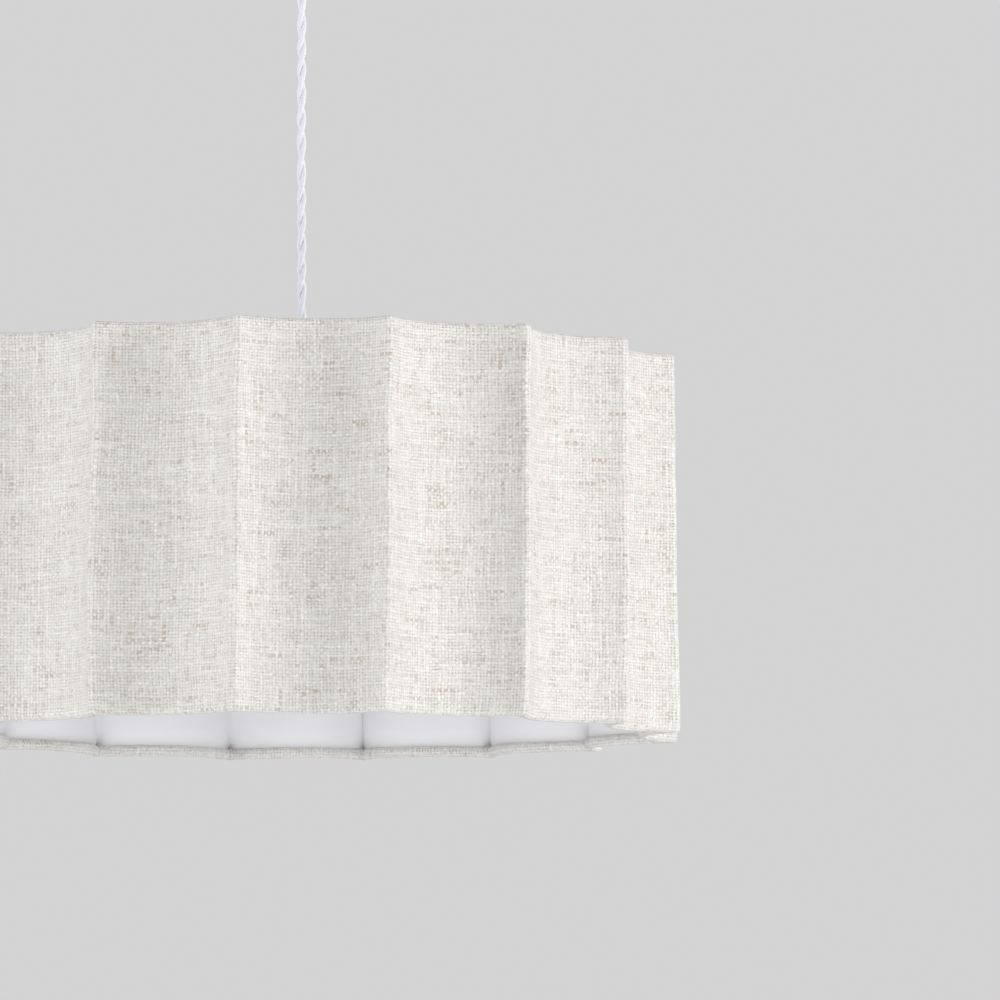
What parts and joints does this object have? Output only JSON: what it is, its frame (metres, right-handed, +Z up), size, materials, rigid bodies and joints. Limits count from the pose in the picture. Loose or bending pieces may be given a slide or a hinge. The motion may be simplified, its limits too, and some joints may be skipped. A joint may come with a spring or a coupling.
{
  "type": "pendant lamp shade",
  "caption": "Scalloped linen drum shade with a white liner, hung by a wire fitter on a screw lampholder, twisted flex and ceiling cup.",
  "frame": {"origin": "centre of the face that lies on the ceiling", "axes": "+Z up, out of the ceiling face; X through the two side screws of the ceiling cup; the shade is round about Z"},
  "size_m": [0.4442, 0.4442, 0.504],
  "materials": {
    "linen": "oatmeal slub linen, matt",
    "liner": "smooth off-white lampshade sheet",
    "white_steel": "white powder coat",
    "white_plastic": "satin moulded white",
    "porcelain": "glazed ceramic",
    "nickel": "nickel plate",
    "brass": "plain brass",
    "flex": "white braided textile over two twisted cores",
    "swivel": "white moulded ball"
  },
  "bodies": {
    "ceiling_rose": {"ceiling_base": "white_steel", "ceiling_cup": "white_steel", "cup_screw_1": "nickel", "cup_screw_2": "nickel"},
    "swivel": {"swivel_ball": "swivel"},
    "pendant": {"cord_clamp": "white_plastic", "clamp_screw": "nickel", "terminal_block": "white_plastic", "terminal_screw_1": "brass", "terminal_screw_2": "brass", "flex": "flex", "holder_gland": "white_plastic", "holder_cap": "white_plastic", "holder_shell": "white_plastic", "holder_insert": "porcelain", "screw_shell": "nickel", "centre_contact": "brass"},
    "washer": {"hub_washer": "white_plastic"},
    "shade": {"linen_cover": "linen", "liner": "liner", "top_ring": "white_steel", "bottom_ring": "white_steel", "fitter_hub": "white_steel", "fitter_arm_1": "white_steel", "fitter_arm_2": "white_steel", "fitter_arm_3": "white_steel", "fitter_arm_4": "white_steel"},
    "clamp_ring": {"retaining_ring": "white_plastic"}
  },
  "joints": [
    {"name": "swing", "type": "hinge", "parent": "ceiling_rose", "child": "swivel", "pos_m": [0, 0, -0.04473], "axis": [1, 0, 0], "range_deg": [-15, 15]},
    {"name": "sway", "type": "hinge", "parent": "swivel", "child": "pendant", "pos_m": [0, 0, -0.04473], "axis": [0, 1, 0], "range_deg": [-15, 15]},
    {"name": "ring_travel", "type": "slide", "parent": "pendant", "child": "washer", "axis": [0, 0, -1], "range_m": [0, 0.009]},
    {"name": "shade_turn", "type": "hinge", "parent": "washer", "child": "shade", "pos_m": [0, 0, -0.308], "axis": [0, 0, 1], "continuous": true},
    {"name": "ring_turn", "type": "hinge", "parent": "washer", "child": "clamp_ring", "pos_m": [0, 0, -0.314], "axis": [0, 0, -1], "range_deg": [0, 1080]}
  ],
  "couplings": [
    {"joint": "ring_turn", "follows": "ring_travel", "rad_per_m": 2094.4}
  ]
}
